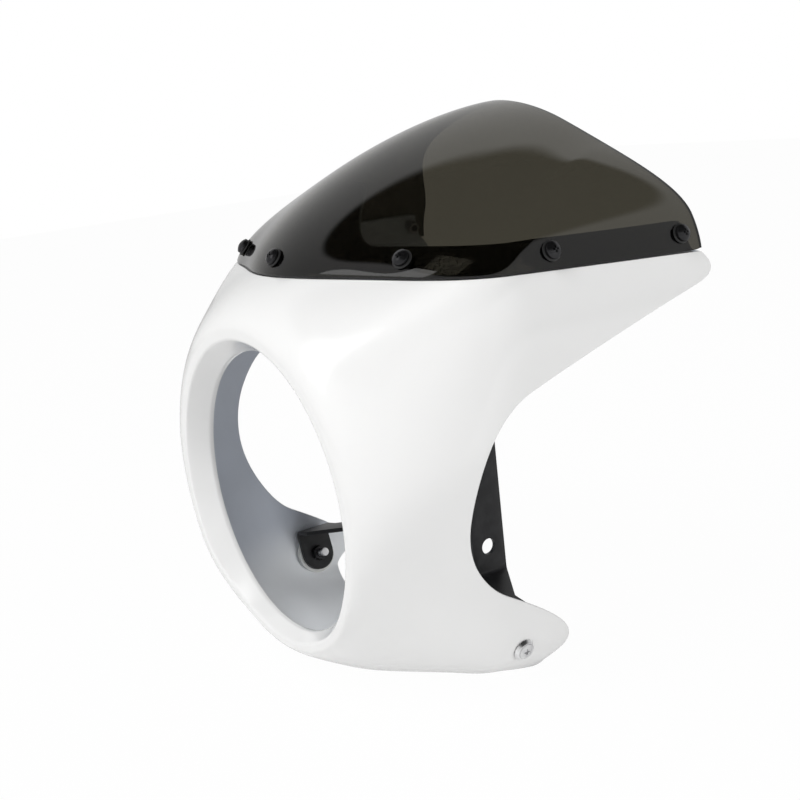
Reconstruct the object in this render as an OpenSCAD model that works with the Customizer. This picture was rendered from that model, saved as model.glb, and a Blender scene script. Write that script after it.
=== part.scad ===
// Headlight cowl for a motorcycle: a moulded shell, a tinted windscreen
// and two steel stays.
// Millimetres. The origin is the centre of the headlight opening, halfway
// along its collar. The front faces -Y, the rider's left is +X, +Z is up.
// Depths are measured from the foremost plane of the rim.

/* [Headlight opening] */
// Clear diameter of the collar that the headlight passes through
opening_d = 182; // [176:1:186]
// Radius of the rolled nose round the opening
nose_r = 13; // [11:0.5:15]
// Radius of the nose at the bottom of the opening
nose_low_r = 8; // [6:0.5:10]
// Straight length of the collar behind the nose
collar_l = 3.5; // [3:0.5:6]

/* [Shell] */
// Wall thickness of the moulding
wall = 3; // [2:0.25:4]
// Depth over which the front flares out to an oval section
flare_l = 90; // [80:1:100]
// Depth over which the upper shoulders reach their full squareness
shoulder_l = 105; // [95:5:120]
// Depth over which the chin's corners reach theirs
corner_l = 88; // [80:1:90]
// Half width of the upper body
body_w = 153; // [145:1:160]
// Height of the full section above the opening's axis
body_h = 149; // [145:1:155]
// Squareness of the upper body's shoulders
body_n = 8; // [7:0.5:9]
// Half width of the chin
chin_w = 131; // [125:1:136]
// Depth of the chin below the opening's axis, just behind the rim
chin_h = 119; // [116:1:122]
// Fall of the chin's underside from there to the flaps
chin_drop = 6; // [3:1:9]
// Squareness of the chin's corners
chin_n = 7; // [6:0.5:9]

/* [Side outline] */
// Rear end of the ears, behind the rim
ear_y = 254; // [245:1:260]
// Foremost point of the cut-outs for the fork, behind the rim
cut_y = 60; // [56:1:64]
// Height of that point over the axis
cut_z = -5; // [-10:1:0]
// Rear end of the chin flaps, behind the rim
flap_y = 134; // [125:1:138]
// Height of the flaps' rear ends
flap_z = -97; // [-100:1:-94]
// Rear edge of the chin on the centre line, behind the rim
chin_y = 100; // [90:1:110]

/* [Windscreen] */
// Thickness of the windscreen
screen_t = 3; // [2:0.25:4]
// Height of the seam between screen and shell at the rim's plane
seam_z = 137; // [135:0.5:139]
// Fall of the seam towards the rear, in degrees
seam_fall = 3.4; // [3:0.1:4]
// Height of the screen's crown over the axis
crown_z = 224; // [210:1:235]
// Rear edge of the crown, behind the rim
crown_y = 216; // [205:1:225]
// Fullness of the rear arch
arch_n = 1.75; // [1.6:0.05:2.1]
// Fullness of the screen's profile
profile_n = 1.5; // [1.2:0.05:1.8]
// Gap at the seam
seam_gap = 0.3; // [0.2:0.05:0.5]
// Gap between the screen and the flange behind it
flange_gap = 0.6; // [0.5:0.05:0.8]
// Height of the flange behind the screen
flange_h = 19; // [17:0.5:22]
// Height of the brow that the flange forms on the centre line
brow_h = 52; // [40:1:60]

/* [Screen screws] */
// Thread diameter of the screws
screw_d = 5; // [4:0.5:5]
// Head diameter of the screws
head_d = 10.5; // [9.5:0.5:11]
// Height of a screw above the seam
screw_rise = 10.5; // [9.5:0.5:12]
// Places along the seam of the screws, from the ear to the centre
screw_s = [0.12, 0.39, 0.62];

// Clearance round a screw in its hole
screw_play = 0.5; // [0.2:0.1:1]
// Diameter of the washers under the heads
washer_d = 12.5; // [12:0.5:14]
// Thickness of a washer
washer_t = 1.2; // [0.8:0.1:1.6]
// Width of a nut over its flats
nut_w = 8; // [8:0.5:10]
// Height of a nut
nut_h = 4; // [3:0.5:5]

/* [Stays] */
// Thickness of the steel strap
stay_t = 3; // [2:0.5:4]
// Width of the strap
stay_w = 25; // [22:1:27]
// Distance from the centre plane to the outside of the strap's upright part
stay_x = 77; // [73:1:81]
// Depth of the upright part's centre line behind the rim
stay_y = 118; // [115:1:121]
// Height of the upright part's top over the axis
stay_top = 44; // [30:1:55]
// Height of the lower bend under the axis
stay_bend_z = -68; // [-70:1:-66]
// Inner radius of the strap's bends
bend_r = 3; // [2:0.5:4]
// Diameter of the mounting hole
stay_hole_d = 10.5; // [8.5:0.5:11]
// Height of the mounting hole over the axis
stay_hole_z = -49; // [-51:1:-40]

/* [Chin fasteners] */
// Depth of the fasteners behind the rim
chin_screw_y = 100; // [97:1:103]
// Height of the fasteners over the axis
chin_screw_z = -98; // [-99:1:-94]
// Thread diameter of the chin screws
chin_screw_d = 6; // [5:0.5:6]
// Diameter of the cup washers
cup_d = 14.5; // [13:0.5:16]
// Diameter of the pads between shell and strap
pad_d = 22; // [19:0.5:23]
// Thickness of the pads
pad_t = 4; // [3:0.5:5]
// Width of the chin nuts over their flats
chin_nut_w = 10; // [8:0.5:10]

/* [Hidden] */

opening_r = opening_d / 2;
nose_flat = 2;
collar_y = nose_r + collar_l;
// The collar's straight wall ends where the nose's roll begins
lip_r = 0.2;
lip_y = nose_r - 2;
datum_y = (collar_y + nose_r - 2 / (1 + lip_r)) / 2;
seam_k = tan(seam_fall);
eps = 0.01;

// Section of the shell
function smooth(t) = let(c = min(max(t, 0), 1)) c * c * (3 - 2 * c);
// The nose is thinner, and lies further back, at the bottom of the opening
function nose(a) = nose_r + (nose_low_r - nose_r) * smooth((-a - 50) / 40);
function front_y(a) = nose_r - nose(a);
function rim_r(a) = opening_r + nose(a) + nose_flat;
function half_w(a) = body_w + (chin_w - body_w) * smooth((15 - a) / 40);
function half_h(a, y) = a >= 0 ? body_h : chin_h + chin_drop * min(y / flap_y, 1);
function full_r(a, h) = let(n = a >= 0 ? body_n : chin_n)
    pow(pow(abs(cos(a)) / half_w(a), n) + pow(abs(sin(a)) / h, n), -1 / n);
function oval_r(a, h) = 1 / norm([cos(a) / half_w(a), sin(a) / h]);
// The oval part of the section opens fast behind the rim, the shoulders slower
function flare(t) = t >= 1 ? 1 : sqrt(1 - pow(1 - max(t, 0), 2));
function skin_r(a, y) = let(h = half_h(a, y), v = oval_r(a, h), f = front_y(a), r = rim_r(a))
    r + (v - r) * flare((y - f) / (flare_l - f)) + (full_r(a, h) - v) * smooth(y / (a >= 0 ? shoulder_l : corner_l));
function skin(a, y) = let(r = skin_r(a, y)) [r * cos(a), y, r * sin(a)];
function unit(v) = v / norm(v);
function skin_n(a, y) = let(q = max(y, front_y(a) + 0.02))
    unit(cross(skin(a, q + eps) - skin(a, q - eps), skin(a + 0.2, q) - skin(a - 0.2, q)));
function skin_in(a, y, d) = skin(a, y) - d * skin_n(a, y);

// Seam between shell and screen: a plane that falls to the rear
function seam_h(y) = seam_z - seam_k * y;
// Angle at which the skin reaches a height, and depth at which it meets the seam
function angle_at(y, z, lo = -89, hi = 89, i = 22) = let(m = (lo + hi) / 2)
    i == 0 ? m : skin_r(m, y) * sin(m) < z ? angle_at(y, z, m, hi, i - 1) : angle_at(y, z, lo, m, i - 1);
function corner_angle(y, z, lo = 0, hi = 48, i = 22) = let(m = (lo + hi) / 2)
    i == 0 ? m : skin_r(m, y) * sin(m) < z ? corner_angle(y, z, m, hi, i - 1) : corner_angle(y, z, lo, m, i - 1);
function depth_at(a, lo = 0, hi = 90, i = 22) = let(m = (lo + hi) / 2)
    i == 0 ? m : skin_r(a, m) * sin(a) < seam_h(m) ? depth_at(a, m, hi, i - 1) : depth_at(a, lo, m, i - 1);

corner_y = ear_y - 6;
side_y = flare_l;
side_a = corner_angle(side_y, seam_h(side_y));
function seam_at(s) = s <= 0.5
    ? let(y = corner_y + (side_y - corner_y) * 2 * s) [corner_angle(y, seam_h(y)), y]
    : let(a = side_a + (90 - side_a) * (2 * s - 1)) [a, depth_at(a)];

// Windscreen surface: meridians rise from the seam to an arch at the rear
corner_p = skin(seam_at(0)[0], corner_y);
arch_h = crown_z - corner_p[2];
function arch(s) = let(
    z = pow(sin(90 * s), 2 / arch_n),
    back = corner_y + (crown_y - corner_y) * smooth((z - 0.22) / 0.63))
    [corner_p[0] * pow(cos(90 * s), 2 / arch_n), back, corner_p[2] + arch_h * z];
function glass(s, w) = let(
    q = seam_at(s),
    f = skin(q[0], q[1]),
    a = arch(s),
    u = 1 - pow(cos(90 * w), 2 / profile_n),
    v = pow(sin(90 * w), 2 / profile_n))
    [f[0] + (a[0] - f[0]) * u, f[1] + (a[1] - f[1]) * u, f[2] + (a[2] - f[2]) * v];
function glass_n(s, w) = let(
    t = min(max(s, 0.02), 0.995),
    c = min(max(w, 0.02), 0.985))
    unit(cross(glass(t, c + 0.01) - glass(t, c - 0.01), glass(t + 0.004, c) - glass(t - 0.004, c)));
function glass_flat_n(s, w) = let(n = glass_n(s, w)) s > 0.99 ? unit([0, n[1], n[2]]) : n;
function glass_in(s, w, d) = glass(s, w) - d * glass_flat_n(s, w);
// Place on a meridian at a height above the seam
function reach(s) = arch(s)[2] - skin(seam_at(s)[0], seam_at(s)[1])[2];
function lift(s, h) = let(v = min(h / max(reach(s), eps), 1)) asin(pow(v, profile_n / 2)) / 90;

// Edge of the shell on one side, as [angle, depth], from the chin's centre line
// to the seam's centre line; the side outline is drawn in the side view [y, z]
function bez(p, t) = let(m = 1 - t)
    m * m * m * p[0] + 3 * m * m * t * p[1] + 3 * m * t * t * p[2] + t * t * t * p[3];
flap_low = [flap_y - 16, flap_z - 15];
flap_tip = [flap_y, flap_z];
flap_mid = [(flap_y + cut_y) / 2 - 10, flap_z + 39];
cut_front = [cut_y, cut_z];
ear_root = [cut_y + 42, cut_z + 70];
ear_low = [ear_y - 12, 104];
ear_top = [corner_y, seam_h(corner_y)];
side_curves = [
    [flap_low, flap_low + [8, 4], flap_tip - [0, 7], flap_tip],
    [flap_tip, flap_tip + [0, 12], flap_mid + [16, -10], flap_mid],
    [flap_mid, flap_mid - [14, -9], cut_front - [0, 22], cut_front],
    [cut_front, cut_front + [0, 30], ear_root - [24, 8], ear_root],
    [ear_root, ear_root + [24, 8], ear_low - [50, 12], ear_low],
    [ear_low, ear_low + [11, 3], ear_top + [10, -10], ear_top]];
side_steps = [3, 5, 6, 6, 6, 5];
chin_steps = 9;
seam_steps = [8, 11];
low_a = angle_at(flap_low[0], flap_low[1]);
edge = concat(
    [for (i = [0:chin_steps - 1]) let(t = i / chin_steps)
        [-90 + (low_a + 90) * t, chin_y + (flap_low[0] - chin_y) * smooth(t)]],
    [for (k = [0:len(side_curves) - 1]) for (i = [0:side_steps[k] - 1])
        let(q = bez(side_curves[k], i / side_steps[k])) [angle_at(q[0], q[1]), q[0]]],
    [for (i = [0:seam_steps[0] - 1]) seam_at(0.5 * i / seam_steps[0])],
    [for (i = [0:seam_steps[1]]) seam_at(0.5 + 0.5 * i / seam_steps[1])]);
// Angles on the rim from which the same columns start
rim_marks = [-90, -52, -44, -30, -5, 14, 26, 30, 46, 90];
rim_steps = concat([chin_steps], side_steps, seam_steps);
rim_a = concat([for (k = [0:len(rim_steps) - 1]) for (i = [0:rim_steps[k] - 1])
    rim_marks[k] + (rim_marks[k + 1] - rim_marks[k]) * i / rim_steps[k]], [90]);
last = len(edge) - 1;
seam_first = last - seam_steps[0] - seam_steps[1];
function seam_s(j) = let(i = j - seam_first)
    i <= seam_steps[0] ? 0.5 * i / seam_steps[0] : 0.5 + 0.5 * (i - seam_steps[0]) / seam_steps[1];

// One section of the shell: collar, nose, outer skin, flange, inner skin
skin_rows = 10;
inner_rows = 8;
nose_rows = 4;
flange_rows = 5;
joggle = 6;
function polar(a, r, y) = [r * cos(a), y, r * sin(a)];
function flange_top(s) = min(flange_h + (brow_h - flange_h) * smooth((s - 0.7) / 0.22), 0.93 * reach(s));
// Heights of the flange's rows, closer together near the seam
function flange_row(s, h0, i) = h0 + (flange_top(s) - h0) * pow(i / flange_rows, 1.3);
function flange_pts(j, d, h0) = let(s = seam_s(j)) [for (i = [0:flange_rows])
    let(h = flange_row(s, h0, i))
        glass_in(s, lift(s, max(h, 0)), d) + [0, 0, min(h, 0)]];
function path(j, v) = let(f = front_y(rim_a[j]))
    [rim_a[j] + (edge[j][0] - rim_a[j]) * v, f + (edge[j][1] - f) * v * v];
function section(j) = let(
    a = rim_a[j],
    on_seam = j > seam_first,
    stop = on_seam ? 1 - joggle / norm(skin(edge[j][0], edge[j][1]) - skin(a, front_y(a))) : 1,
    out = [for (i = [0:skin_rows]) let(q = path(j, i / skin_rows)) skin(q[0], q[1])],
    in = [for (i = [0:inner_rows]) let(q = path(j, stop * i / inner_rows)) skin_in(q[0], q[1], wall)],
    back = screen_t + flange_gap,
    n = nose(a),
    c = opening_r + n)
    concat(
        [polar(a, opening_r - 1, collar_y), polar(a, opening_r - 1, nose_r), polar(a, opening_r + lip_r, lip_y)],
        [for (i = [0:nose_rows]) let(b = 22 + 68 * i / nose_rows) polar(a, c - n * cos(b), nose_r - n * sin(b))],
        out,
        on_seam ? flange_pts(j, back, 0) : [for (i = [0:flange_rows]) in[inner_rows]],
        [for (i = [flange_rows:-1:0])
            on_seam ? flange_pts(j, back + wall, -1)[i] : in[inner_rows]],
        [for (i = [inner_rows:-1:0]) in[i]],
        [for (i = [nose_rows:-1:0]) let(b = 90 * i / nose_rows)
            polar(a, c - (n - wall) * cos(b), nose_r - (n - wall) * sin(b))],
        [polar(a, opening_r + wall, collar_y)]);
function mirrored(p) = [-p[0], p[1], p[2]];
half_sections = [for (j = [0:last]) section(j)];
sections = concat(half_sections,
    [for (j = [last - 1:-1:1]) [for (p = half_sections[j]) mirrored(p)]]);

// Closed skin over a grid of points whose columns, and if asked rows, close on themselves
function flat(rows) = [for (r = rows) for (p = r) p];
function quad(a, b, c, d) = [[a, c, b], [a, d, c]];
module ring_loft(cols) {
    n = len(cols);
    m = len(cols[0]);
    faces = [for (j = [0:n - 1]) for (i = [0:m - 1])
        let(k = (j + 1) % n, l = (i + 1) % m)
        for (f = quad(j * m + i, j * m + l, k * m + l, k * m + i)) f];
    polyhedron(flat(cols), faces);
}

// From depths behind the rim to the frame of the part
module framed() translate([0, -datum_y, 0]) children();
// Turn +Z to a direction and move there
module aim(p, n) translate(p) rotate([0, acos(n[2]), atan2(n[1], n[0])]) children();
module both_sides() {
    children();
    mirror([1, 0, 0]) children();
}
// The screws' axes stand square on the windscreen
module at_screen_screws() {
    for (s = screw_s) both_sides() at_screen_point(s) children();
    at_screen_point(1) children();
}
module at_screen_point(s) {
    w = lift(s, screw_rise);
    aim(glass(s, w), glass_flat_n(s, w)) children();
}
// Chin fasteners: the axis is square on the skin, and Z = 0 on its outside
chin_a = angle_at(chin_screw_y, chin_screw_z);
chin_p = skin(chin_a, chin_screw_y);
chin_n3 = skin_n(chin_a, chin_screw_y);
chin_dir = unit([chin_n3[0], 0, chin_n3[2]]);
module at_chin() aim(chin_p, chin_dir) children();
module hole(deep, d) {
    translate([0, 0, -deep]) cylinder(h = deep + 5, d = d, $fn = 32);
}

module cowl_shell() {
    color("white") framed() difference() {
        ring_loft(sections);
        translate([0, -nose_r, 0]) rotate([-90, 0, 0])
            cylinder(h = 2 * nose_r + collar_l, r = opening_r, $fn = 120);
        at_screen_screws() hole(screen_t + wall + 5, screw_d + screw_play);
        both_sides() at_chin() hole(wall + 3, chin_screw_d + screw_play);
    }
}

// Windscreen: one sheet of even thickness
// It shares its columns and lower rows with the flange, so that both bend alike
glass_rows = 6;
glass_s0 = 0.02;
glass_s = [for (j = [seam_first:last]) max(seam_s(j), glass_s0)];
function glass_w(s) = let(w1 = lift(s, flange_top(s))) concat(
    [for (i = [0:flange_rows]) lift(s, flange_row(s, seam_gap, i))],
    [for (i = [1:glass_rows]) min(w1 + (1 - w1) * i / glass_rows, 1)]);
function glass_col(s) = let(ws = glass_w(s), n = len(ws)) concat(
    [for (i = [0:n - 1]) glass(s, ws[i])],
    [for (i = [n - 1:-1:0]) glass_in(s, ws[i], screen_t)]);
half_glass = [for (s = glass_s) glass_col(s)];
module strip_loft(cols) {
    n = len(cols);
    m = len(cols[0]);
    r = m / 2;
    faces = concat(
        [for (j = [0:n - 2]) for (i = [0:m - 1])
            let(k = j + 1, l = (i + 1) % m)
            for (f = quad(j * m + i, j * m + l, k * m + l, k * m + i)) f],
        [for (i = [0:r - 2]) for (f = quad(i, m - 1 - i, m - 2 - i, i + 1)) f],
        [for (i = [0:r - 2]) let(b = (n - 1) * m)
            for (f = quad(b + i, b + i + 1, b + m - 2 - i, b + m - 1 - i)) f]);
    polyhedron(flat(cols), faces);
}
module windscreen() {
    color([0.2, 0.2, 0.2, 0.7]) framed() difference() {
        strip_loft(concat(half_glass,
            [for (j = [len(half_glass) - 2:-1:0]) [for (p = half_glass[j]) mirrored(p)]]));
        at_screen_screws() hole(screen_t + 3, screw_d + screw_play);
    }
}

// Screws with a domed head and a cross recess; Z = 0 under the head
module cross_recess(size, depth) {
    for (r = [0, 90]) rotate(r) translate([-size / 2, -0.6, -depth]) cube([size, 1.2, depth + 5]);
}
module domed_screw(length) {
    dome_h = 3.6;
    dome_r = (head_d * head_d / 4 + dome_h * dome_h) / (2 * dome_h);
    difference() {
        union() {
            translate([0, 0, -length]) cylinder(h = length + 1, d = screw_d, $fn = 32);
            intersection() {
                translate([0, 0, dome_h - dome_r]) sphere(r = dome_r, $fn = 64);
                cylinder(h = dome_h + 1, d = head_d, $fn = 48);
            }
        }
        translate([0, 0, dome_h]) cross_recess(5.2, 2);
    }
}
module ring(outer, inner, h) {
    difference() {
        cylinder(h = h, d = outer, $fn = 48);
        translate([0, 0, -1]) cylinder(h = h + 2, d = inner, $fn = 48);
    }
}
module hex_nut(w, d) {
    difference() {
        cylinder(h = nut_h, d = w / cos(30), $fn = 6);
        translate([0, 0, -1]) cylinder(h = nut_h + 2, d = d + 0.1, $fn = 32);
    }
}
seat = 0.05;
// A flat washer or pad meets a hollow face with its rim first
washer_seat = 0.9;
pad_seat = 2.1;
flange_back = screen_t + flange_gap + wall + washer_seat;
back_washer_t = 1;
module screen_screws() {
    length = seat + washer_t + flange_back + back_washer_t + nut_h + 1;
    color([0.08, 0.08, 0.08]) framed() at_screen_screws() translate([0, 0, seat + washer_t]) domed_screw(length);
}
module screen_washers() {
    color([0.1, 0.1, 0.1]) framed() at_screen_screws() translate([0, 0, seat])
        ring(washer_d, screw_d + screw_play, washer_t);
}
module flange_washers() {
    color("silver") framed() at_screen_screws() translate([0, 0, -flange_back - back_washer_t])
        ring(10, screw_d + screw_play, back_washer_t);
}
module screen_nuts() {
    color("silver") framed() at_screen_screws() translate([0, 0, -flange_back - back_washer_t - nut_h])
        hex_nut(nut_w, screw_d);
}

// Stay: one bent strap. Its foot lies on the chin pad, a middle part runs inward
// and to the rear, and its upright part stands beside the headlight
foot_gap = wall + pad_seat + pad_t;
foot_c = chin_p - chin_dir * (foot_gap + stay_t / 2);
foot_up = unit([chin_dir[2], -chin_dir[0]]) * -1;
foot_low = stay_w / 2;
foot_high = 19;
function flat_p(p, t) = [p[0], p[2]] + t * foot_up;
stay_line = [
    flat_p(foot_c, -foot_low),
    flat_p(foot_c, foot_high),
    [stay_x - stay_t / 2, stay_bend_z],
    [stay_x - stay_t / 2, stay_top]];
// One side of a strip with round bends along a line, at a distance from the line
function bend_pts(a, b, c, off, steps = 6) = let(
    u = unit(a - b),
    v = unit(c - b),
    h = acos(u * v) / 2,
    r = bend_r + stay_t / 2,
    turn = cross(u, v) < 0 ? 1 : -1,
    mid = b + unit(u + v) * (r / sin(h)),
    from = unit(b + u * (r / tan(h)) - mid))
    [for (i = [0:steps]) let(t = turn * (180 - 2 * h) * i / steps)
        mid + (r - turn * off) * [from[0] * cos(t) - from[1] * sin(t), from[0] * sin(t) + from[1] * cos(t)]];
function side_dir(a, b) = let(u = unit(b - a)) [-u[1], u[0]];
function strip_side(p, off) = concat(
    [p[0] + off * side_dir(p[0], p[1])],
    [for (i = [1:len(p) - 2]) for (q = bend_pts(p[i - 1], p[i], p[i + 1], off)) q],
    [p[len(p) - 1] + off * side_dir(p[len(p) - 2], p[len(p) - 1])]);
module strip(p) {
    near = strip_side(p, stay_t / 2);
    far = strip_side(p, -stay_t / 2);
    polygon(concat(near, [for (i = [len(far) - 1:-1:0]) far[i]]));
}
// The strap from above: its middle part runs slantwise to the rear
foot_x = foot_c[0] - 10;
module strap_plan() {
    polygon([
        [stay_x - 20, stay_y - stay_w / 2], [stay_x, stay_y - stay_w / 2],
        [foot_x, chin_screw_y - stay_w / 2], [foot_x + 40, chin_screw_y - stay_w / 2],
        [foot_x + 40, chin_screw_y + stay_w / 2], [foot_x, chin_screw_y + stay_w / 2],
        [stay_x, stay_y + stay_w / 2], [stay_x - 20, stay_y + stay_w / 2]]);
}
module stay() {
    difference() {
        intersection() {
            translate([0, stay_y + 2 * stay_w, 0]) rotate([90, 0, 0]) linear_extrude(4 * stay_w) strip(stay_line);
            translate([0, 0, -150]) linear_extrude(300) strap_plan();
        }
        translate([stay_x - 10, stay_y, stay_hole_z]) rotate([0, 90, 0])
            cylinder(h = 20, d = stay_hole_d, $fn = 48);
        at_chin() hole(foot_gap + stay_t + 8, chin_screw_d + screw_play);
        // The foot's end is round about the screw
        at_chin() translate([0, 0, -foot_gap - stay_t - 4]) difference() {
            translate([0, -stay_w, 0]) cube([2 * stay_w, 2 * stay_w, stay_t + 8]);
            cylinder(h = stay_t + 8, d = stay_w - 0.3, $fn = 64);
        }
        for (k = [-1, 1]) translate([stay_x, stay_y + k * stay_w / 2, stay_top])
            rotate([45, 0, 0]) cube([30, 9, 9], center = true);
    }
}
module left_stay() {
    color([0.08, 0.08, 0.08]) framed() stay();
}
module right_stay() {
    color([0.08, 0.08, 0.08]) framed() mirror([1, 0, 0]) stay();
}

// Chin fasteners
cup_h = 2.4;
module chin_cup_washers() {
    color("gainsboro") framed() both_sides() at_chin() translate([0, 0, seat]) difference() {
        cylinder(h = cup_h, d1 = cup_d, d2 = cup_d - 3, $fn = 48);
        translate([0, 0, -1]) cylinder(h = 6, d = chin_screw_d + screw_play, $fn = 32);
        translate([0, 0, cup_h - 2]) cylinder(h = 2.01, d1 = chin_screw_d + screw_play, d2 = cup_d - 4, $fn = 48);
    }
}
module chin_screws() {
    length = foot_gap + stay_t + nut_h + 7;
    top_d = cup_d - 4.4;
    color("gainsboro") framed() both_sides() at_chin() difference() {
        union() {
            translate([0, 0, -length]) cylinder(h = length + 1, d = chin_screw_d, $fn = 32);
            translate([0, 0, seat + cup_h - 1.9])
                cylinder(h = 1.9, d1 = chin_screw_d, d2 = top_d, $fn = 48);
            intersection() {
                translate([0, 0, seat + cup_h + 1 - 10]) sphere(r = 10, $fn = 64);
                translate([0, 0, seat + cup_h - 0.01]) cylinder(h = 2, d = top_d, $fn = 48);
            }
        }
        translate([0, 0, seat + cup_h + 1]) cross_recess(4.4, 1.8);
    }
}
module chin_pads() {
    color("white") framed() both_sides() at_chin() translate([0, 0, -wall - pad_seat - pad_t])
        ring(pad_d, chin_screw_d + screw_play, pad_t);
}
module chin_nuts() {
    color("silver") framed() both_sides() at_chin() translate([0, 0, -foot_gap - stay_t - nut_h])
        hex_nut(chin_nut_w, chin_screw_d);
}

cowl_shell();
windscreen();
screen_screws();
screen_washers();
flange_washers();
screen_nuts();
left_stay();
right_stay();
chin_screws();
chin_cup_washers();
chin_pads();
chin_nuts();
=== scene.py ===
"""Headlight cowl: builds the dressed model over the part's solids.

Lengths in the formulas are millimetres behind the rim's foremost plane, as in
the part's source; place() turns them into metres in the part's frame.
"""

import math

import bmesh
import bpy
import numpy as np
from mathutils import Matrix, Vector


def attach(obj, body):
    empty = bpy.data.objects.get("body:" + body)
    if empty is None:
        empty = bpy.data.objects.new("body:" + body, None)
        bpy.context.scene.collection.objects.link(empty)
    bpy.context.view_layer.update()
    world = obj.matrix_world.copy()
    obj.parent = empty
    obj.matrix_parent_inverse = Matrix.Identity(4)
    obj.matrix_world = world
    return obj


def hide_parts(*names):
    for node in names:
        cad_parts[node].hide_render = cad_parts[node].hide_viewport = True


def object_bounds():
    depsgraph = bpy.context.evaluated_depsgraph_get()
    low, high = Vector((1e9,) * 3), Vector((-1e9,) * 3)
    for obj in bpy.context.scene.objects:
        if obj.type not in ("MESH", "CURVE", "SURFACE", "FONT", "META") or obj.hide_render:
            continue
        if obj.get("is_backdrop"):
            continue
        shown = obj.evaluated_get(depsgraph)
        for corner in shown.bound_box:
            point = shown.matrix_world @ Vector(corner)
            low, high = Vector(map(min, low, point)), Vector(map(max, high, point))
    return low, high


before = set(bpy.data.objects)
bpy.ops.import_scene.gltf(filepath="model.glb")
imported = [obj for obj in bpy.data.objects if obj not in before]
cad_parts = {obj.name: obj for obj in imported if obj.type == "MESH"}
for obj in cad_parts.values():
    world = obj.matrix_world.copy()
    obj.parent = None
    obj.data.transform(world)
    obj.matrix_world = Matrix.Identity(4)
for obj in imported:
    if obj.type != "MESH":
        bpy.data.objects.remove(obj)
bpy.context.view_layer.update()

bl_info = {
    "name": "Headlight cowl",
    "version": (1, 0, 0),
    "blender": (4, 5, 0),
    "location": "3D View > Sidebar > Cowl",
    "description": "Builds a moulded headlight cowl with a tinted windscreen",
    "category": "Add Mesh",
}

BODY = "root"
EPS = 0.01


# Settings

def length(name, text, default):
    return bpy.props.FloatProperty(
        name=name, description=text, default=default, unit="LENGTH", subtype="DISTANCE", precision=4)


def number(name, text, default):
    return bpy.props.FloatProperty(name=name, description=text, default=default)


def colour(name, text, default):
    return bpy.props.FloatVectorProperty(
        name=name, description=text, default=default, size=3, subtype="COLOR", min=0, max=1)


class CowlShellSettings(bpy.types.PropertyGroup):
    edge_round: length("Edge round", "Rounding of the free edges", 0.001)
    paint: colour("Paint", "Gloss coat of the outside", (0.855, 0.855, 0.85))
    inside: colour("Inside", "Bare moulding inside", (0.55, 0.585, 0.65))
    # Painted light: a paler colour on the inside's bottom, where light falls in through the opening
    light_pool: colour("Light_pool", "Paint mist along the inside's bottom", (0.86, 0.88, 0.9))
    # Painted shade: a dark grey on the flange under the windscreen, which gets light only through the
    # tinted sheet
    flange: colour("Flange", "Shading of the flange under the windscreen", (0.2, 0.2, 0.2))


class WindscreenSettings(bpy.types.PropertyGroup):
    thickness: length("Thickness", "Thickness of the sheet", 0.003)
    edge_round: length("Edge round", "Polished rounding of the edges", 0.0008)
    tint: colour("Tint", "Light that the smoked sheet lets through", (0.052, 0.048, 0.036))
    edge: colour("Edge", "Colour of the polished edge", (0.006, 0.006, 0.006))


class FastenerSettings(bpy.types.PropertyGroup):
    head: length("Head", "Head diameter of the screen screws", 0.0105)
    thread: length("Thread", "Thread diameter of the screen screws", 0.005)
    washer: length("Washer", "Diameter of the washers under the heads", 0.0125)
    rise: length("Rise", "Height of a screw over the seam", 0.0105)


class StageSettings(bpy.types.PropertyGroup):
    lens: bpy.props.FloatProperty(
        name="Lens", description="Focal length on a 36 mm sensor", default=58.5, unit="CAMERA")
    eye: bpy.props.FloatVectorProperty(
        name="Eye", description="Place of the camera", default=(0.7076, -0.35882, 0.2369),
        size=3, unit="LENGTH", subtype="TRANSLATION")
    ambient: number("Ambient", "Strength of the room's light on the object", 0.06)
    mirrored: number("Mirrored room", "Strength of the room in gloss and glass", 0.62)
    glow: number("Glow", "Share of the floor's light that is its own", 0.32)
    low: number("Low lamp", "Power of the low front lamp in watts", 15)
    side: number("Side lamp", "Power of the side lamp in watts", 19)
    high: number("High lamp", "Power of the high front lamp in watts", 29)
    window: number("Window lamp", "Power of the lamp that shows as a highlight", 2.6)


# Surface of the shell and the windscreen

# Thickness of the moulding, and the flat ring round the nose
WALL, NOSE_FLAT = 3, 2
# Depths over which the skin flares out and the corners turn square
FLARE_L, SHOULDER_L, CORNER_L, CORNER_Y0 = 90, 105, 88, 10
# Half width, height and squareness of the upper body and of the chin
BODY_W, BODY_H, BODY_N = 153, 149, 8
CHIN_W, CHIN_H, CHIN_DROP, CHIN_N = 131, 119, 6, 7
# Ends of the ears, the cut-outs for the fork, the flaps and the chin
EAR_Y, CUT_Y, CUT_Z = 254, 60, -5
FLAP_Y, FLAP_Z, CHIN_Y = 134, -97, 100
# Height and slope of the seam, and the windscreen's arch and meridians
SEAM_Z, SEAM_K = 137, math.tan(math.radians(3.4))
CROWN_Z, CROWN_Y, ARCH_N, PROFILE_N = 224, 216, 1.75, 1.5
# Play round the windscreen, and height of the flange at the sides and the brow
SEAM_GAP, FLANGE_GAP, FLANGE_H, BROW_H = 0.3, 0.6, 19, 52
# Thickness of the windscreen
SCREEN_T = 3
# Opening, rolled nose, collar and the part's datum halfway along the collar
OPENING_R, NOSE_R, NOSE_LOW_R, COLLAR_L = 91, 13, 8, 3.5
LIP_R = 0.2
COLLAR_Y = NOSE_R + COLLAR_L
DATUM_Y = (COLLAR_Y + NOSE_R - 2 / (1 + LIP_R)) / 2
# Places of the screws along one half of the seam; one more stands in the middle
SCREW_S = (0.12, 0.39, 0.62)
# Roundness of the flare, and the angle below which the nose gets smaller
FLARE_N, NOSE_A, NOSE_SPREAD = 1.8, 26, 44
# Places where the chin's skin swells or falls in: angle, depth, extent and height
CHIN_FORM = (
    (-64, 36, 30, 36, 5.4),
    (-48, 77, 18, 32, -3.4),
    (-43, 130, 17, 38, 4.0),
)
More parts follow.
